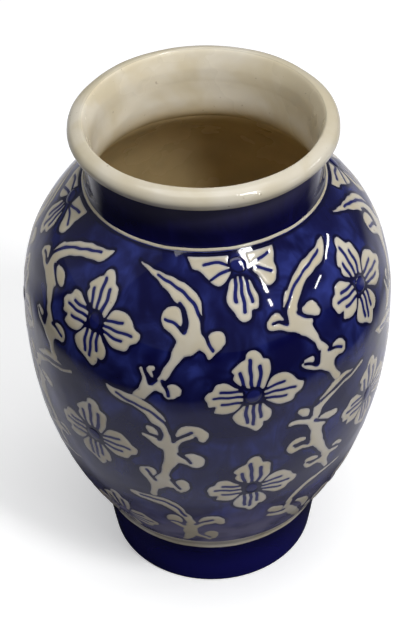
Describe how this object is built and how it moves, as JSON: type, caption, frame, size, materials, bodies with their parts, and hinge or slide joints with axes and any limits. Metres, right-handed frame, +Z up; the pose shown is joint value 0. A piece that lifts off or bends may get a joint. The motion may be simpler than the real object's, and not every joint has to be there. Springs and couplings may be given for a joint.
{
  "type": "glazed pottery vase",
  "caption": "Baluster vase with a tall foot ring, a full shouldered belly, a short upright neck and a thick rolled lip, glazed blue with cream flowers and leafy vines.",
  "frame": {"origin": "centre of the foot's underside, in the plane the vase stands on", "axes": "+Z up along the vase's axis, from the foot to the mouth; +X and +Y are any two square directions across it"},
  "size_m": [0.172, 0.172, 0.25],
  "materials": {
    "cobalt_glaze": "gloss, brushed cobalt ground under clear glaze",
    "navy_glaze": "gloss, deep navy",
    "cream_glaze": "gloss, warm cream",
    "inner_glaze": "gloss, thin brown glaze inside the belly",
    "bare_clay": "unglazed buff clay on the standing edge of the foot"
  },
  "bodies": {
    "root": {"foot_ring": "navy_glaze", "lower_body": "cobalt_glaze", "upper_body": "cobalt_glaze", "neck_collar": "navy_glaze", "rolled_lip": "cream_glaze"}
  },
  "joints": []
}
